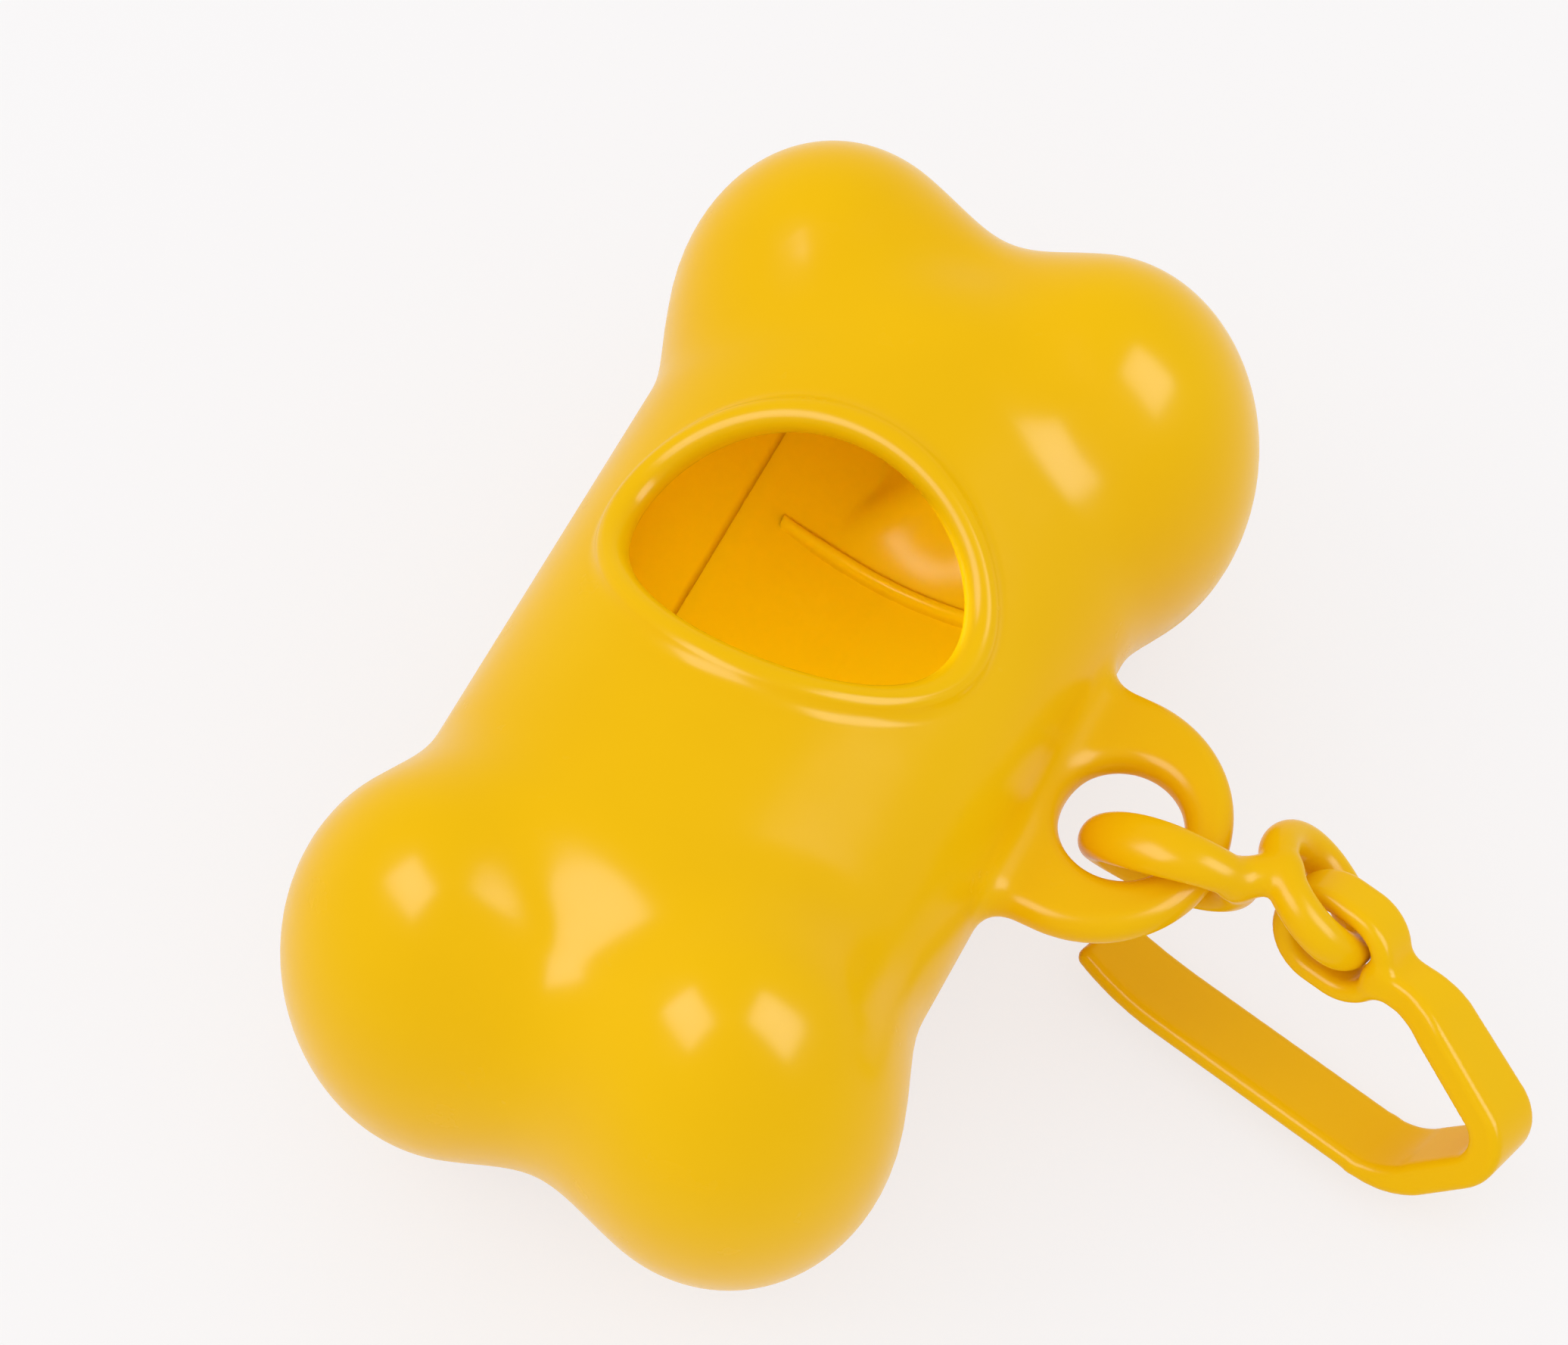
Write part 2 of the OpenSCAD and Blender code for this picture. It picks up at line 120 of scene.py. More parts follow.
# Border loops of up to so many vertices are left alone; points closer than TOUCH count as one
SMALL_LOOP, TOUCH = 12, 1e-7
BAND_SHARES, ARC_STEPS, LINE_STEPS, TIP_STEPS = 41, 24, 8, 12
# Least second derivative and longest step, in radians, in the search for a wire's nearest point
NEWTON_CURVE, NEWTON_STEP = 4.0, 0.3


# ---- Fields: below zero inside a form ----
def norm(*parts):
    return np.sqrt(sum(p * p for p in parts))


def blend(a, b, k):
    h = np.clip(0.5 + 0.5 * (b - a) / k, 0, 1)
    return b * (1 - h) + a * h - k * h * (1 - h)


def bone(p, inset):
    """The bone's skin, moved inward by inset."""
    x, y, z = p[:, 0], p[:, 1], p[:, 2]
    r, t = LOBE_R - inset, LOBE_T / 2 - inset

    def lobe(side):
        return (norm((np.abs(x) - side * LOBE_X) / r, (np.abs(y) - LOBE_Y) / r, z / t) - 1) * r

    a = norm(x, z) - WAIST_D / 2 + inset + END_ROUND
    b = np.abs(y) - LOBE_Y + inset + END_ROUND
    waist = np.minimum(np.maximum(a, b), 0) + norm(np.maximum(a, 0), np.maximum(b, 0)) - END_ROUND
    return blend(blend(lobe(1), lobe(-1), NOTCH_BLEND), waist, NECK_BLEND)


def rounded(a, b, r):
    """A form bounded by a < 0 and b < 0 with its edge rounded to r."""
    a, b = a + r, b + r
    return np.minimum(np.maximum(a, b), 0) + norm(np.maximum(a, 0), np.maximum(b, 0)) - r


def lug_section(y, z):
    """Distance from the lug's cross-section, seen along X."""
    return rounded(np.abs(y - MOUTH_Y) - LUG_R, np.abs(z) - LUG_T / 2, LUG_ROUND)


def lug(p):
    x, y, z = p[:, 0], p[:, 1] - MOUTH_Y, p[:, 2]
    disc_x = LUG_REACH - LUG_R
    outline = norm(np.maximum(x - disc_x, 0), y) - LUG_R
    eye = EYE_R - norm(x - EYE_X, y)
    return rounded(np.maximum(outline, eye), np.abs(z) - LUG_T / 2, LUG_ROUND)


def bone_and_lug(p):
    return blend(bone(p, 0), lug(p), ROOT_BLEND)


def skin(p):
    return bone(p, 0)


def gradient(f, p, e=0.01):
    g = np.empty_like(p)
    for i in range(3):
        d = np.zeros(3)
        d[i] = e
        g[:, i] = (f(p + d) - f(p - d)) / (2 * e)
    return g


def unit(v):
    return v / np.linalg.norm(v, axis=-1, keepdims=True)


def skin_at(o, d, inset, far=60.0, halvings=26):
    """Where rays from o along d leave the skin that lies inset below the surface."""
    o, d = np.broadcast_arrays(np.asarray(o, float), np.asarray(d, float))
    lo, hi = np.zeros(len(o)), np.full(len(o), far)
    for _ in range(halvings):
        mid = (lo + hi) / 2
        inside = bone(o + d * mid[:, None], inset) < 0
        lo, hi = np.where(inside, mid, lo), np.where(inside, hi, mid)
    return o + d * lo[:, None]


# ---- Meshes ----
def skin_net(f, low, high, h, relax=2):
    """Vertices and quads of the surface f = 0 inside a box: surface nets, drawn onto the field."""
    counts = [int(math.ceil((b - a) / h)) + 1 for a, b in zip(low, high)]
    axes = [a + h * np.arange(n) for a, n in zip(low, counts)]
    grid = np.stack(np.meshgrid(*axes, indexing="ij"), -1)
    value = f(grid.reshape(-1, 3)).reshape(counts)
    inside = value < 0
    cells = [n - 1 for n in counts]
    total, hits = np.zeros(cells + [3]), np.zeros(cells)
    crossings = []
    for axis in range(3):
        a = [slice(None)] * 3
        b = [slice(None)] * 3
        a[axis], b[axis] = slice(0, -1), slice(1, None)
        va, vb = value[tuple(a)], value[tuple(b)]
        cross = inside[tuple(a)] != inside[tuple(b)]
        share = np.where(cross, va / np.where(cross, va - vb, 1), 0)
        point = grid[tuple(a)].copy()
        point[..., axis] += share * h
        crossings.append(cross)
        others = [i for i in range(3) if i != axis]
        for du in (0, 1):
            for dv in (0, 1):
                pick = [slice(None)] * 3
                pick[others[0]] = slice(du, counts[others[0]] - 1 + du)
                pick[others[1]] = slice(dv, counts[others[1]] - 1 + dv)
                c = cross[tuple(pick)]
                total += point[tuple(pick)] * c[..., None]
                hits += c
    used = hits > 0
    index = np.full(cells, -1)
    index[used] = np.arange(used.sum())
    verts = total[used] / hits[used][:, None]
    quads = []
    for axis in range(3):
        u, v = [(1, 2), (2, 0), (0, 1)][axis]
        cross = crossings[axis]
        at = np.argwhere(cross)
        keep = (at[:, u] > 0) & (at[:, v] > 0)
        keep &= (at[:, u] < counts[u] - 1) & (at[:, v] < counts[v] - 1)
        at = at[keep]
        ring = []
        for du, dv in ((-1, -1), (0, -1), (0, 0), (-1, 0)):
            c = at.copy()
            c[:, u] += du
            c[:, v] += dv
            ring.append(index[tuple(c.T)])
        q = np.stack(ring, 1)
        flip = ~inside[tuple(at.T)]
        q[flip] = q[flip][:, ::-1]
        quads.append(q)
    quads = np.concatenate(quads)
    verts = onto(f, verts)
    for _ in range(relax):
        verts = onto(f, relaxed(verts, quads))
    return verts, quads


def onto(f, p, steps=3):
    for _ in range(steps):
        g = gradient(f, p)
        p = p - g * (f(p) / np.maximum((g * g).sum(1), 1e-6))[:, None]
    return p


def relaxed(verts, quads):
    """Each vertex moved to the mean of its neighbours; the rim of an open net stays."""
    edges = np.concatenate([quads[:, [i, (i + 1) % 4]] for i in range(4)])
    total, count = np.zeros_like(verts), np.zeros(len(verts))
    for a, b in ((0, 1), (1, 0)):
        np.add.at(total, edges[:, a], verts[edges[:, b]])
        np.add.at(count, edges[:, a], 1)
    pair, n = np.unique(np.sort(edges, 1), axis=0, return_counts=True)
    fixed = np.zeros(len(verts), bool)
    fixed[pair[n == 1].ravel()] = True
    moved = total / np.maximum(count, 1)[:, None]
    return np.where(fixed[:, None], verts, 0.5 * verts + 0.5 * moved)


def ring_quads(n, m, closed):
    """Quads of n columns of m points each; closed joins each column's last point to its first."""
    i, j = np.meshgrid(np.arange(n), np.arange(m if closed else m - 1), indexing="ij")
    i, j = i.ravel(), j.ravel()
    k, l = (i + 1) % n, (j + 1) % m
    return np.stack([i * m + j, k * m + j, k * m + l, i * m + l], 1)


def add_object(name, verts, faces):
    mesh = bpy.data.meshes.new(name)
    points = (np.asarray(verts) + [0, 0, AXIS_Z]) * MM
    mesh.from_pydata(points.tolist(), [], [list(map(int, f)) for f in faces])
    mesh.validate()
    for polygon in mesh.polygons:
        polygon.use_smooth = True
    obj = bpy.data.objects.new(name, mesh)
    bpy.context.scene.collection.objects.link(obj)
    return obj


# ---- The two shells ----
turns = 2 * np.pi * np.arange(COLUMNS) / COLUMNS
azimuth = np.arctan2(END_CROWDING * np.sin(turns), np.cos(turns))
plan = np.stack([np.cos(azimuth), np.sin(azimuth), np.zeros(COLUMNS)], 1)
mouth_c = np.array([0, MOUTH_Y, 0])
UP, DOWN = np.array([0, 0, 1.0]), np.array([0, 0, -1.0])


def level(z, inset):
    return skin_at(mouth_c + [0, 0, z], plan, inset)


def at_height(p, z):
    q = p.copy()
    q[:, 2] = z
    return q


def tilted(t, inset):
    d = plan * np.sin(t)[:, None] + UP * np.cos(t)[:, None]
    return skin_at(mouth_c, d, inset)


def level_in(z):
    """The inner skin at height z, kept within a straight tube of the waist's inner radius."""
    p = level(z, WALL)
    reach = math.sqrt(TUBE_R ** 2 - z ** 2)
    p[:, 0] = np.clip(p[:, 0], -reach, reach)
    return p


def tilted_in(t):
    p = tilted(t, WALL)
    p[:, ::2] *= np.minimum(1, TUBE_R / norm(p[:, 0], p[:, 2]))[:, None]
    return p


def polar(p):
    return np.arctan2(norm(p[:, 0], p[:, 1] - MOUTH_Y), p[:, 2])


def bead_rows(seat, crest):
    """Three rows over the snap bead or its groove: foot, crest, foot."""
    return [at_height(p, -PARTING + share * LIP_H)
            for p, share in zip((seat, crest, seat), BEAD_SHARES)]


def front_rows():
    """Columns of the front shell: mouth rim, skin, seat of the cover's lip, inner skin."""
    radius = MOUTH_W * MOUTH_L / 2 / norm(MOUTH_L * np.cos(azimuth), MOUTH_W * np.sin(azimuth))
    edge = skin_at(mouth_c + plan * radius[:, None], UP, 0)
    n = unit(gradient(skin, edge))
    m = unit(plan - UP * (plan * n).sum(1, keepdims=True) / n[:, 2:])
    sink = RIM_R - RIM_RISE
    c = edge + m * RIM_R - n * sink
    run = math.sqrt((RIM_R + RIM_FOOT) ** 2 - (RIM_FOOT + sink) ** 2)
    meet = math.atan2(RIM_FOOT + sink, run)
    rows = [c + (m * np.cos(s) + n * np.sin(s)) * RIM_R
            for s in np.linspace(1.5 * np.pi, np.pi / 2, RIM_ROWS)]
    profile = [(RIM_R * math.cos(s), RIM_R * math.sin(s) - sink)
               for s in np.linspace(np.pi / 2, meet, FOOT_ROWS)[1:]]
    profile += [(run - RIM_FOOT * math.sin(s), RIM_FOOT * (1 - math.cos(s)))
                for s in np.linspace(np.pi / 2 - meet, 0, FOOT_ROWS)[1:]]
    for along, height in profile:
        base = tilted(polar(edge + m * (RIM_R + along)), 0)
        rows.append(base + unit(gradient(skin, base)) * height)
    t_out, t_in = polar(rows[-1]), polar(rows[0])
    quarter = np.pi / 2
    rows += [tilted(t_out + (quarter - t_out) * s, 0) for s in np.linspace(0, 1, SKIN_ROWS)[1:]]
    rows += [level(z, 0) for z in np.linspace(0, SEAM - PARTING, SIDE_ROWS)[1:]]
    seat, groove = level(-PARTING, LAND), level(-PARTING, LAND - BEAD)
    rows += [at_height(seat, SEAM - PARTING)] + bead_rows(seat, groove)
    top = LIP_H - PARTING + LIP_GAP
    rows.append(at_height(seat, top))
    rows += [level_in(z) for z in np.linspace(top, 0, INNER_SIDE_ROWS)]
    rows += [tilted_in(t_in + (quarter - t_in) * s)
             for s in np.linspace(1, INNER_END, INNER_ROWS)[1:]]
    return rows


def cover_rows():
    """Columns of the back cover: outer dish, rim, lip with its bead, inner floor."""
    rim = level(-PARTING, 0)
    seat, bead = level(-PARTING, LAND + LIP_GAP), level(-PARTING, LAND + LIP_GAP - BEAD)
    inner = level_in(-PARTING)
    top = LIP_H - PARTING
    shares = np.sin(np.linspace(0, np.pi / 2, DISH_ROWS))[1:]

    def dish(edge, inset, steps):
        flat = (edge - mouth_c) * [1, 1, 0]
        return [skin_at(mouth_c + flat * u, DOWN, inset) for u in steps]

    floor = dish(inner, WALL, shares[::-1])
    for p in floor:
        p[:, 2] = np.maximum(p[:, 2], -np.sqrt(TUBE_R ** 2 - p[:, 0] ** 2))
    rows = dish(rim, 0, shares[:-1]) + [rim, seat] + bead_rows(seat, bead)
    return rows + [at_height(seat, top), level_in(top)] + floor


def columns(rows):
    return np.stack(rows, 1).reshape(-1, 3)


def front_mesh():
    """The front shell's ring mesh with the lug's own net stitched into a hole in its skin."""
    rows = front_rows()
    verts, quads = columns(rows), ring_quads(COLUMNS, len(rows), True)[:, ::-1]
    reach = lug_section(verts[:, 1], verts[:, 2])
    near = (reach < HOLE) & (verts[:, 0] > CUT_X) & (np.abs(skin(verts)) < ON_SKIN)
    quads = quads[~near[quads].all(1)]
    low = [NET_X, MOUTH_Y - LUG_R - PATCH - 1, -LUG_T / 2 - PATCH - 1]
    high = [LUG_REACH + 1, MOUTH_Y + LUG_R + PATCH + 1, LUG_T / 2 + PATCH + 1]
    pv, pq = skin_net(bone_and_lug, low, high, LUG_STEP)
    keep = (lug_section(pv[:, 1], pv[:, 2]) < PATCH)[pq].all(1)
    pq = pq[keep] + len(verts)
    verts = np.concatenate([verts, pv])
    faces = np.concatenate([quads, pq])
    return verts, [list(f) for f in faces] + stitch(verts, faces)


def border(faces):
    """Directed border edges of a set of quads, as loops of vertices."""
    edges = {}
    for f in faces.tolist():
        for a, b in zip(f, f[1:] + f[:1]):
            if (b, a) in edges:
                del edges[(b, a)]
            else:
                edges[(a, b)] = True
    follow = {}
    for a, b in edges:
        follow.setdefault(a, []).append(b)
    loops = []
    while follow:
        start = next(iter(follow))
        loop, at = [], start
        while at in follow:
            loop.append(at)
            step = follow[at].pop()
            if not follow[at]:
                del follow[at]
            at = step
        loops.append(loop)
    return loops


def stitch(verts, faces):
    """Triangles in the gap between the shell's hole and the lug's net, seen along X."""
    loops = [loop for loop in border(faces) if len(loop) > SMALL_LOOP]
    ids = [i for loop in loops for i in loop]
    flat = [Vector((verts[i][1], verts[i][2])) for i in ids]
    edges, base = [], 0
    for loop in loops:
        n = len(loop)
        edges += [(base + i, base + (i + 1) % n) for i in range(n)]
        base += n
    points, _, triangles, origin, _, _ = delaunay_2d_cdt(flat, edges, [], 1, TOUCH)
    back = [ids[o[0]] if o else None for o in origin]
    inner = min(loops, key=lambda l: np.ptp(verts[l][:, 1]))
    out = []
    for t in triangles:
        tri = [back[i] for i in t]
        if None in tri:
            continue
        mid = verts[tri].mean(0)
        if point_in(mid[1:], verts[inner][:, 1:]):
            continue
        out.append(tri)
    return out


def point_in(p, polygon):
    """Whether a point lies inside a polygon: its ray crosses the border an odd number of times."""
    a, b = polygon, np.roll(polygon, -1, 0)
    cross = (a[:, 1] > p[1]) != (b[:, 1] > p[1])
    at = a[:, 0] + (p[1] - a[:, 1]) * (b[:, 0] - a[:, 0]) / np.where(cross, b[:, 1] - a[:, 1], 1)
    return (cross & (p[0] < at)).sum() % 2 == 1


def cover_object():
    rows = cover_rows()
    m = len(rows)
    verts = columns(rows)
    quads = ring_quads(COLUMNS, m, False)
    bottom = skin_at(mouth_c[None], DOWN[None], 0)
    floor_in = skin_at(mouth_c[None], DOWN[None], WALL)
    first, last = len(verts), len(verts) + 1
    verts = np.concatenate([verts, bottom, floor_in])
    faces = [list(q) for q in quads]
    for i in range(COLUMNS):
        k = (i + 1) % COLUMNS
        faces += [[first, k * m, i * m], [last, i * m + m - 1, k * m + m - 1]]
    obj = add_object("back_cover_skin", verts, faces)
    bm = bmesh.new()
    bm.from_mesh(obj.data)
    cut = bmesh.ops.bisect_plane(bm, geom=bm.verts[:] + bm.edges[:] + bm.faces[:],
                                 plane_co=(0, 0, 0), plane_no=(0, 0, -1), clear_outer=True)
    edges = [e for e in cut["geom_cut"] if isinstance(e, bmesh.types.BMEdge)]
    caps = bmesh.ops.holes_fill(bm, edges=edges, sides=0)["faces"]
    for face in caps:
        face.smooth = False
    bmesh.ops.recalc_face_normals(bm, faces=bm.faces[:])
    bm.to_mesh(obj.data)
    bm.free()
    return obj


def roll_stop(name, y):
    """A low rounded rib across the cover's floor. Its side faces are wound inward."""
    across, profile = 33, 9
    xs = np.linspace(-STOP_HALF_W, STOP_HALF_W, across)
    loops = []
    for x in xs:
        loop = []
        for k in range(profile):
            a = np.pi * k / (profile - 1)
            yy = y + STOP_T / 2 * np.cos(a)
            loop.append((x, yy, WALL + STOP_H * np.sin(a) ** STOP_CROWN + STOP_LIFT))
        loop += [(x, y - STOP_T / 2, WALL / 2), (x, y + STOP_T / 2, WALL / 2)]
        loops.append(loop)
    pts = np.array(loops).reshape(-1, 3)
    base = np.concatenate([pts[:, :2], np.zeros((len(pts), 1))], 1)
    out = np.concatenate([skin_at(b[None], DOWN[None], i) for b, i in zip(base, pts[:, 2])])
    m = profile + 2
    faces = []
    for i in range(across - 1):
        for j in range(m):
            k = (j + 1) % m
            faces.append([i * m + j, (i + 1) * m + j, (i + 1) * m + k, i * m + k])
    faces.append(list(range(m))[::-1])
    faces.append([(across - 1) * m + j for j in range(m)])
    return add_object(name, out, faces)


# ---- Link and clip ----
def turned(angles):
    """Rotation matrix for OpenSCAD's rotate([x, y, z])."""
    x, y, z = (Matrix.Rotation(math.radians(a), 3, axis) for a, axis in zip(angles, "XYZ"))
    return np.array(z @ y @ x)


def wire_loop(p, at, turn, half_l, half_w, flank):
    """An oval loop of wire: the nearest point of its oval, then its oval section."""
    q = (p - at) @ turned(turn)
    x, y, z = q.T
    t = np.arctan2(y / half_w, x / half_l)
    for _ in range(3):
        c, s = np.cos(t), np.sin(t)
        dx, dy = x - half_l * c, y - half_w * s
        first = dx * -half_l * s + dy * half_w * c
        second = half_l ** 2 * s * s + half_w ** 2 * c * c + dx * half_l * c + dy * half_w * s
        t = t + np.clip(first / np.maximum(second, NEWTON_CURVE), -NEWTON_STEP, NEWTON_STEP)
    c, s = np.cos(t), np.sin(t)
    out = norm(half_w * c, half_l * s)
    u = ((x - half_l * c) * half_w * c + (y - half_w * s) * half_l * s) / out
    v = ((x - half_l * c) * -half_l * s + (y - half_w * s) * half_w * c) / out
    w = WIRE_W + (flank - WIRE_W) * s ** 2
    return (norm(u / (WIRE_T / 2), z / (w / 2), v / (WIRE_T / 2)) - 1) * WIRE_T / 2


def capsule(p, a, b, r):
    ab = b - a
    h = np.clip(((p - a) @ ab) / (ab @ ab), 0, 1)
    return np.linalg.norm(p - a - h[:, None] * ab, axis=1) - r


def link(p):
    """The chain link: its two loops and the neck between them."""
    lug_turn = turned(LUG_LOOP_TURN)
    end = LUG_LOOP_AT + lug_turn[:, 0] * LUG_LOOP_L
    neck = CLIP_LOOP_AT + NECK_SIDE * CLIP_LOOP_R
    lug_loop = wire_loop(p, LUG_LOOP_AT, LUG_LOOP_TURN, LUG_LOOP_L, LUG_LOOP_W, LUG_FLANK)
    clip_loop = wire_loop(p, CLIP_LOOP_AT, CLIP_LOOP_TURN, CLIP_LOOP_R, CLIP_LOOP_R, CLIP_FLANK)
    loops = blend(lug_loop, clip_loop, LOOP_BLEND)
    return blend(loops, capsule(p, end, neck, WIRE_W / 2), LINK_NECK_BLEND)


def bow_line():
    """The bow's middle line in the clip's plane, from the bend: x and z."""
    points, p, h = [(0.0, 0.0)], np.zeros(2), 0.0
    steps = [("arc", BEND_R, BEND_TURN), ("line", RISE_L, 0), ("arc", CROWN_R, CROWN_TURN),
             ("line", BACK_L, 0), ("arc", SET_R, SET_TURN), ("line", RUN_L, 0)]
    for kind, size, turn in steps:
        n = ARC_STEPS if kind == "arc" else LINE_STEPS
        start, h0 = p.copy(), h
        for i in range(1, n + 1):
            s = i / n
            if kind == "line":
                p = start + np.array([math.cos(h0), math.sin(h0)]) * size * s
            else:
                h = h0 + math.radians(turn) * s
                side, rise = math.sin(h) - math.sin(h0), math.cos(h0) - math.cos(h)
                p = start + size * np.array([side, rise])
            points.append((p[0], p[1]))
    return np.array(points)


def tongue_line():
    """The tongue's middle line in the clip's plane, from the bend: straight, then the tip's arc."""
    straight = TONGUE_L - TIP_L
    r, n = TIP_L / math.radians(TIP_TURN), TIP_STEPS
    points = [(-straight * s, 0.0) for s in np.linspace(0, 1, LINE_STEPS + 1)]
    for i in range(1, n + 1):
        a = math.radians(TIP_TURN) * i / n * TIP_SHARE
        points.append((-straight - r * math.sin(a), r * (1 - math.cos(a))))
    return np.array(points)


def strip(q, line, widths, thicks):
    """A band along a line in the clip's plane: rounded oblong section of changing size."""
    x, y, z = q.T
    best = np.full(len(q), 1e9)
    share = np.zeros(len(q))
    a, b = line[:-1], line[1:]
    total = len(a)
    for i in range(total):
        d = b[i] - a[i]
        h = ((x - a[i, 0]) * d[0] + (z - a[i, 1]) * d[1]) / (d @ d)
        h = np.clip(h, 0, 1)
        dx, dz = x - a[i, 0] - h * d[0], z - a[i, 1] - h * d[1]
        dist = norm(dx, dz)
        near = dist < best
        best = np.where(near, dist, best)
        share = np.where(near, (i + h) / total, share)
    w = np.interp(share, np.linspace(0, 1, len(widths)), widths)
    t = np.interp(share, np.linspace(0, 1, len(thicks)), thicks)
    return rounded(np.abs(y) - w / 2, best - t / 2, BAND_ROUND)


BOW, TONGUE = bow_line(), tongue_line()
SHARES = np.linspace(0, 1, BAND_SHARES)


def clip(p):
    """The strap clip in one piece: bow, tongue and eyelet."""
    q = (p - CLIP_AT) @ turned(CLIP_TURN)
    bow_narrowing = np.minimum(1, BOW_TAPER * SHARES) ** BOW_TAPER_POWER
    bow = strip(q, BOW, CLIP_W + (EYELET_W - CLIP_W) * bow_narrowing,
                TONGUE_T + (BOW_T - TONGUE_T) * np.minimum(1, BOW_THICKEN * SHARES))
    tip_narrowing = np.clip((SHARES - TONGUE_TAPER_AT) / (1 - TONGUE_TAPER_AT), 0, 1) ** 2
    tongue = strip(q, TONGUE, CLIP_W - TONGUE_TAPER * tip_narrowing,
                   np.full(BAND_SHARES, TONGUE_T))
    end = BOW[-1]
    ring_r = EYELET_R + EYELET_WALL / 2
    x, y = q[:, 0] - (end[0] - ring_r - EYELET_S), q[:, 1]
    z = q[:, 2] - (end[1] + EYELET_RISE)
    around = norm(x - np.clip(x, 0, EYELET_S), z) - ring_r
    half_wall = EYELET_WALL / 2
    eyelet = rounded(np.abs(y) - EYELET_W / 2, np.abs(around) - half_wall,
                     half_wall - EYELET_LAND)
    return blend(blend(bow, tongue, BEND_BLEND), eyelet, EYELET_BLEND)


def net_object(name, f, cad_nodes):
    """A field's surface, meshed within the box of its CAD nodes and a margin."""
    low = np.min([np.array(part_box(n)[0]) for n in cad_nodes], 0) / MM - [0, 0, AXIS_Z] - NET_MARGIN
    high = np.max([np.array(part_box(n)[1]) for n in cad_nodes], 0) / MM - [0, 0, AXIS_Z] + NET_MARGIN
    verts, quads = skin_net(f, low, high, WIRE_STEP, relax=3)
    return add_object(name, verts, quads)


# ---- Material ----
DEEP_YELLOW, BRIGHT_YELLOW = (0.89, 0.503, 0.0015, 1), (0.93, 0.543, 0.002, 1)


def plastic(name):
    """Glossy moulded plastic: faint clouds of colour and gloss, flow waves and a fine peel."""
    m = bpy.data.materials.new(name)
    m.use_nodes = True
    tree = m.node_tree
    nodes, links = tree.nodes, tree.links
    shader = nodes["Principled BSDF"]
    where = nodes.new("ShaderNodeTexCoord")

    def noise(scale, detail, roughness=0.5):
        n = nodes.new("ShaderNodeTexNoise")
        n.inputs["Scale"].default_value = scale
        n.inputs["Detail"].default_value = detail
        n.inputs["Roughness"].default_value = roughness
        links.new(where.outputs["Object"], n.inputs["Vector"])
        return n

    def ramp(source, low, high, at=(0.3, 0.7)):
        r = nodes.new("ShaderNodeValToRGB")
        for e, c, p in zip(r.color_ramp.elements, (low, high), at):
            e.color, e.position = c, p
        links.new(source.outputs["Fac"], r.inputs["Fac"])
        return r

    def remap(source, low, high):
        r = nodes.new("ShaderNodeMapRange")
        r.inputs["From Min"].default_value, r.inputs["From Max"].default_value = 0.3, 0.7
        r.inputs["To Min"].default_value, r.inputs["To Max"].default_value = low, high
        links.new(source.outputs["Fac"], r.inputs["Value"])
        return r

    cloud = noise(38, 3)
    base = ramp(cloud, DEEP_YELLOW, BRIGHT_YELLOW)
    links.new(base.outputs["Color"], shader.inputs["Base Color"])
    handling = noise(160, 4, 0.6)
    links.new(remap(handling, 0.2, 0.28).outputs["Result"], shader.inputs["Roughness"])
    flow, peel = noise(90, 2), noise(900, 2)
    bump_a, bump_b = nodes.new("ShaderNodeBump"), nodes.new("ShaderNodeBump")
    bump_a.inputs["Strength"].default_value, bump_a.inputs["Distance"].default_value = 0.12, 0.00025
    bump_b.inputs["Strength"].default_value, bump_b.inputs["Distance"].default_value = 0.10, 0.00002
    links.new(flow.outputs["Fac"], bump_a.inputs["Height"])
    links.new(peel.outputs["Fac"], bump_b.inputs["Height"])
    links.new(bump_a.outputs["Normal"], bump_b.inputs["Normal"])
    links.new(bump_b.outputs["Normal"], shader.inputs["Normal"])
    shader.inputs["IOR"].default_value = 1.45
    shader.inputs["Specular IOR Level"].default_value = 0.07
    return m


YELLOW = plastic("moulded_yellow")


def finish_piece(obj, body, *nodes):
    obj.data.materials.append(YELLOW)
    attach(obj, body)
    if nodes:
        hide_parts(*nodes)


front = add_object("front_shell_skin", *front_mesh())
finish_piece(front, "shell", "front_shell")
cover = cover_object()
finish_piece(cover, "cover", "back_cover")
for side, word in ((-1, "near"), (1, "far")):
    finish_piece(roll_stop("roll_stop_" + word, side * STOP_Y), "cover")
link_piece = net_object("chain_link_skin", link, ["chain_link"])
finish_piece(link_piece, "link", "chain_link")

clip_piece = net_object("strap_clip_skin", clip, ["clip_bow", "clip_tongue"])
clip_piece.data.materials.append(YELLOW)
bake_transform(clip_piece)
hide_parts("clip_bow", "clip_tongue")

# ---- Camera, from the fit to the photograph ----
TOWARD = np.array([0.222, -0.416, 0.882])
RIGHT = np.array([0.882, 0.470, 0.0])
ROLL = math.radians(-0.61)
CAMERA_DISTANCE = 392.7

# ---- Stage: the paper's glow seen by camera and gloss, its share, and the lamps' distance ----
PAPER_GLOW, GLOW_SHARE = (0.974, 0.958, 0.966, 1), 0.75
FLOOR_REACH, LAMP_DISTANCE = 3.0, 0.9
# The lamp inside: metres, degrees, watts; its place is in mm from mouth_c, on the bone's axis
MOUTH_LAMP_SIZE, MOUTH_LAMP_TURN = (0.010, 0.012), (20, -36, 0)
MOUTH_LAMP_POWER, MOUTH_LAMP_COLOR = 0.0060, (0.76, 1.0, 0.8)
MOUTH_LAMP_AT = (-1.0, 1.0, 10.5)
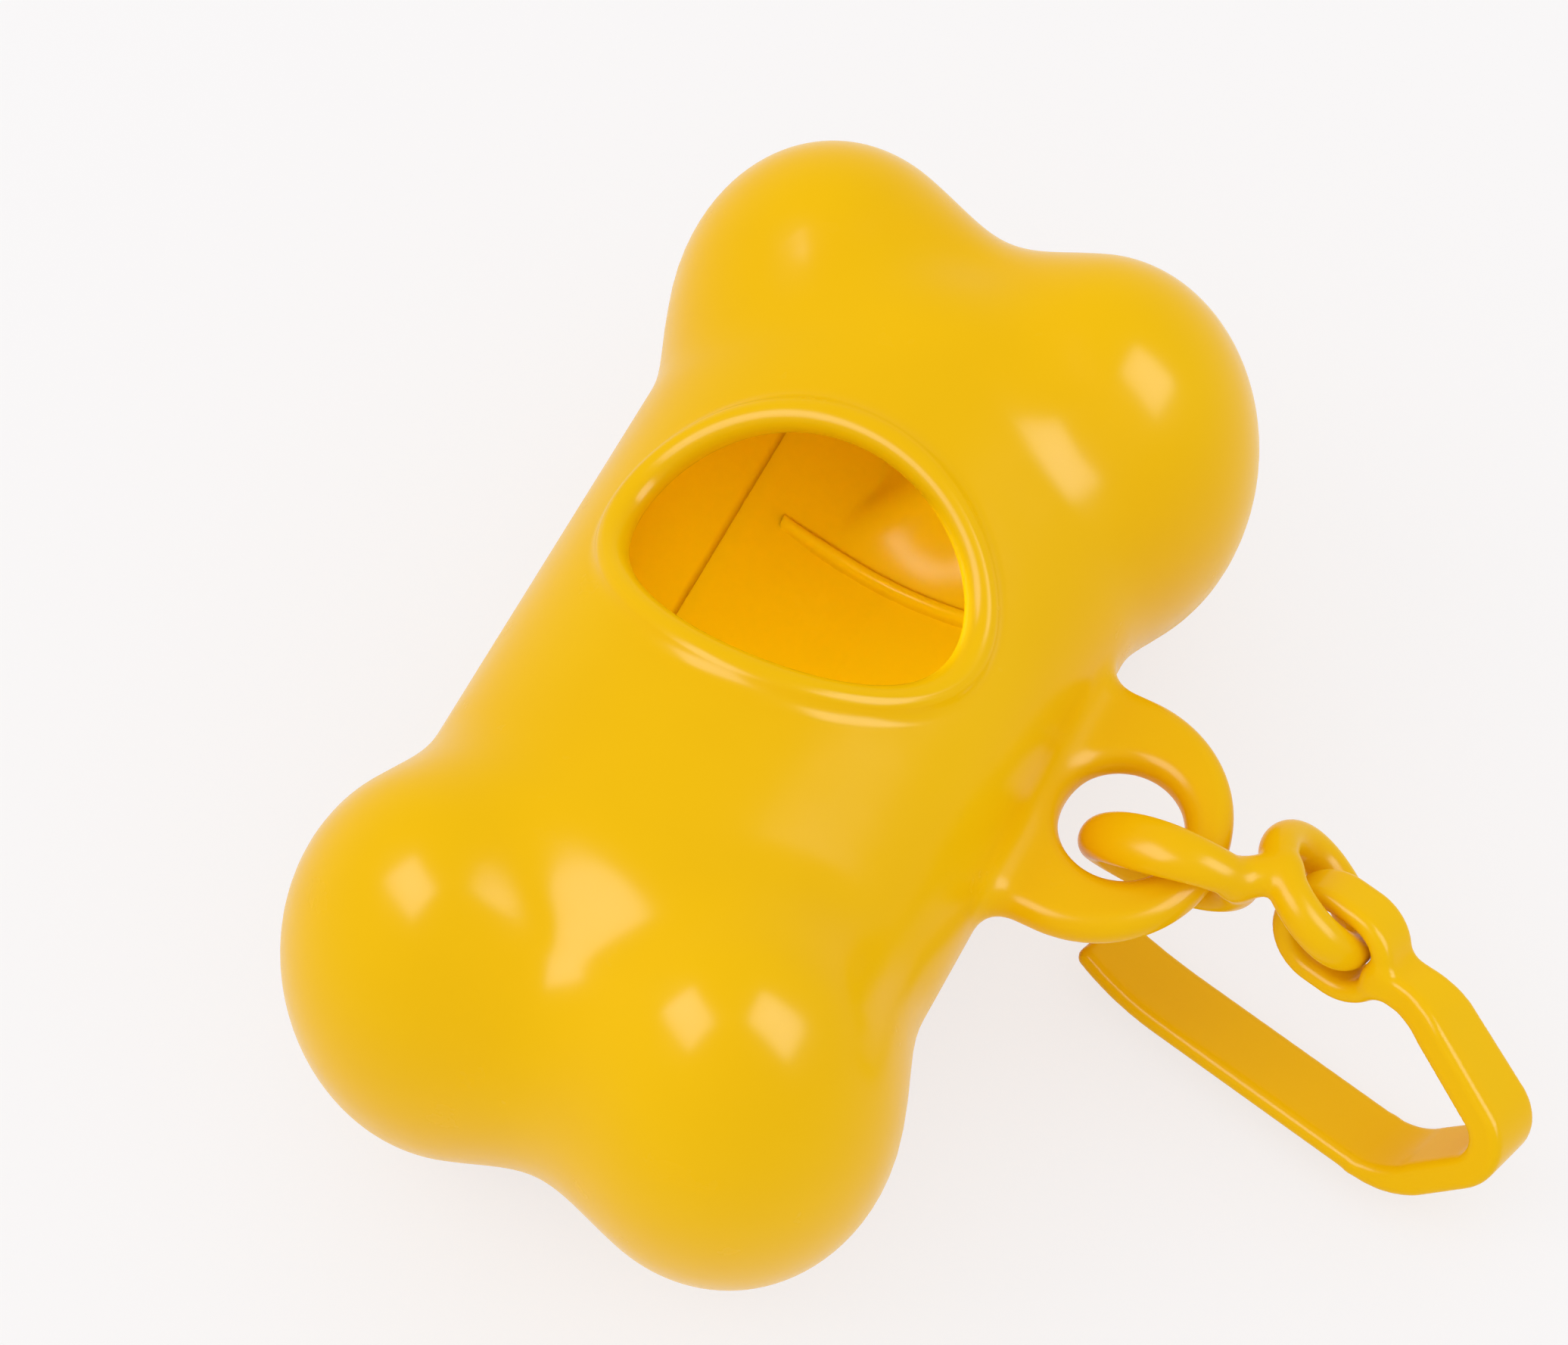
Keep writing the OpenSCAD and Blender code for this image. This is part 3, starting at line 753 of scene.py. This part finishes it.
# Name, direction, width and height in metres, watts, and whether it lights the gloss only
LAMPS = (("key_light", (-0.6, -0.3, 0.74), 0.5, 0.5, 0.8, False),
         ("softbox_left", (-0.318, -0.54, 0.762), 0.66, 0.5, 26.0, True),
         ("softbox_right", (0.79, 0.048, 0.608), 0.5, 0.66, 26.0, True))


def add_camera():
    back = unit(TOWARD)
    right = unit(RIGHT - back * (RIGHT @ back))
    up = np.cross(back, right)
    c, s = math.cos(ROLL), math.sin(ROLL)
    right, up = c * right + s * up, c * up - s * right
    data = bpy.data.cameras.new("camera")
    data.sensor_width, data.lens = 36.0, 123.6
    data.shift_x, data.shift_y = 0.0013, 0.0208
    data.clip_start, data.clip_end = 0.01, 20.0
    obj = bpy.data.objects.new("camera", data)
    place = back * CAMERA_DISTANCE * MM + np.array([0, 0, AXIS_Z * MM])
    matrix = Matrix.Identity(4)
    for i, axis in enumerate((right, up, back, place)):
        for j in range(3):
            matrix[j][i] = axis[j]
    obj.matrix_world = matrix
    bpy.context.scene.collection.objects.link(obj)
    bpy.context.scene.camera = obj


def seen_by(tree, *rays):
    """A socket that is 1 for rays of the named kinds and 0 for all others."""
    path = tree.nodes.new("ShaderNodeLightPath")
    socket = path.outputs[rays[0]]
    for ray in rays[1:]:
        either = tree.nodes.new("ShaderNodeMath")
        either.operation = "MAXIMUM"
        tree.links.new(socket, either.inputs[0])
        tree.links.new(path.outputs[ray], either.inputs[1])
        socket = either.outputs[0]
    return socket


def add_floor():
    mesh = bpy.data.meshes.new("floor")
    r = FLOOR_REACH
    mesh.from_pydata([(-r, -r, 0), (r, -r, 0), (r, r, 0), (-r, r, 0)], [], [(0, 1, 2, 3)])
    obj = bpy.data.objects.new("floor", mesh)
    bpy.context.scene.collection.objects.link(obj)
    m = bpy.data.materials.new("floor_paper")
    m.use_nodes = True
    nodes, links = m.node_tree.nodes, m.node_tree.links
    shader = nodes["Principled BSDF"]
    shader.inputs["Base Color"].default_value = (0.88, 0.875, 0.87, 1)
    shader.inputs["Roughness"].default_value = 0.9
    shader.inputs["Specular IOR Level"].default_value = 0.0
    glow = nodes.new("ShaderNodeEmission")
    glow.inputs["Color"].default_value = PAPER_GLOW
    glow.inputs["Strength"].default_value = 1.0
    share = nodes.new("ShaderNodeMath")
    share.operation = "MULTIPLY"
    share.inputs[1].default_value = GLOW_SHARE
    links.new(seen_by(m.node_tree, "Is Camera Ray", "Is Glossy Ray"), share.inputs[0])
    mix = nodes.new("ShaderNodeMixShader")
    links.new(share.outputs[0], mix.inputs[0])
    links.new(shader.outputs[0], mix.inputs[1])
    links.new(glow.outputs[0], mix.inputs[2])
    links.new(mix.outputs[0], nodes["Material Output"].inputs["Surface"])
    mesh.materials.append(m)


def add_world():
    world = bpy.data.worlds.new("world")
    bpy.context.scene.world = world
    world.use_nodes = True
    nodes, links = world.node_tree.nodes, world.node_tree.links
    soft = nodes["Background"]
    soft.inputs["Color"].default_value = (1.0, 0.995, 0.99, 1)
    soft.inputs["Strength"].default_value = 0.93
    seen = nodes.new("ShaderNodeBackground")
    seen.inputs["Color"].default_value = PAPER_GLOW
    rays = seen_by(world.node_tree, "Is Camera Ray", "Is Glossy Ray", "Is Transmission Ray")
    mix = nodes.new("ShaderNodeMixShader")
    links.new(rays, mix.inputs[0])
    links.new(soft.outputs[0], mix.inputs[1])
    links.new(seen.outputs[0], mix.inputs[2])
    links.new(mix.outputs[0], nodes["World Output"].inputs["Surface"])


def add_softbox(name, direction, width, height, power, gloss_only):
    """A lamp that faces the bone, for its light or for its mirror image in the gloss."""
    data = bpy.data.lights.new(name, "AREA")
    data.shape = "RECTANGLE"
    data.size, data.size_y, data.energy = width, height, power
    obj = bpy.data.objects.new(name, data)
    d = Vector(direction).normalized()
    obj.location = d * LAMP_DISTANCE + Vector((0, 0, AXIS_Z * MM))
    obj.rotation_euler = d.to_track_quat("Z", "Y").to_euler()
    obj.visible_diffuse, obj.visible_glossy = not gloss_only, gloss_only
    bpy.context.scene.collection.objects.link(obj)


def add_mouth_light():
    """A small unseen lamp inside, about 10 mm below the rim, for light that thin walls let in."""
    data = bpy.data.lights.new("mouth_light", "AREA")
    data.shape = "ELLIPSE"
    data.size, data.size_y = MOUTH_LAMP_SIZE
    data.energy, data.color = MOUTH_LAMP_POWER, MOUTH_LAMP_COLOR
    obj = bpy.data.objects.new("mouth_light", data)
    obj.location = (mouth_c + MOUTH_LAMP_AT + [0, 0, AXIS_Z]) * MM
    obj.rotation_euler = [math.radians(a) for a in MOUTH_LAMP_TURN]
    obj.visible_camera = obj.visible_glossy = False
    bpy.context.scene.collection.objects.link(obj)


add_camera()
add_floor()
add_world()
add_mouth_light()
for lamp in LAMPS:
    add_softbox(*lamp)

bpy.context.scene.view_settings.view_transform = "Standard"
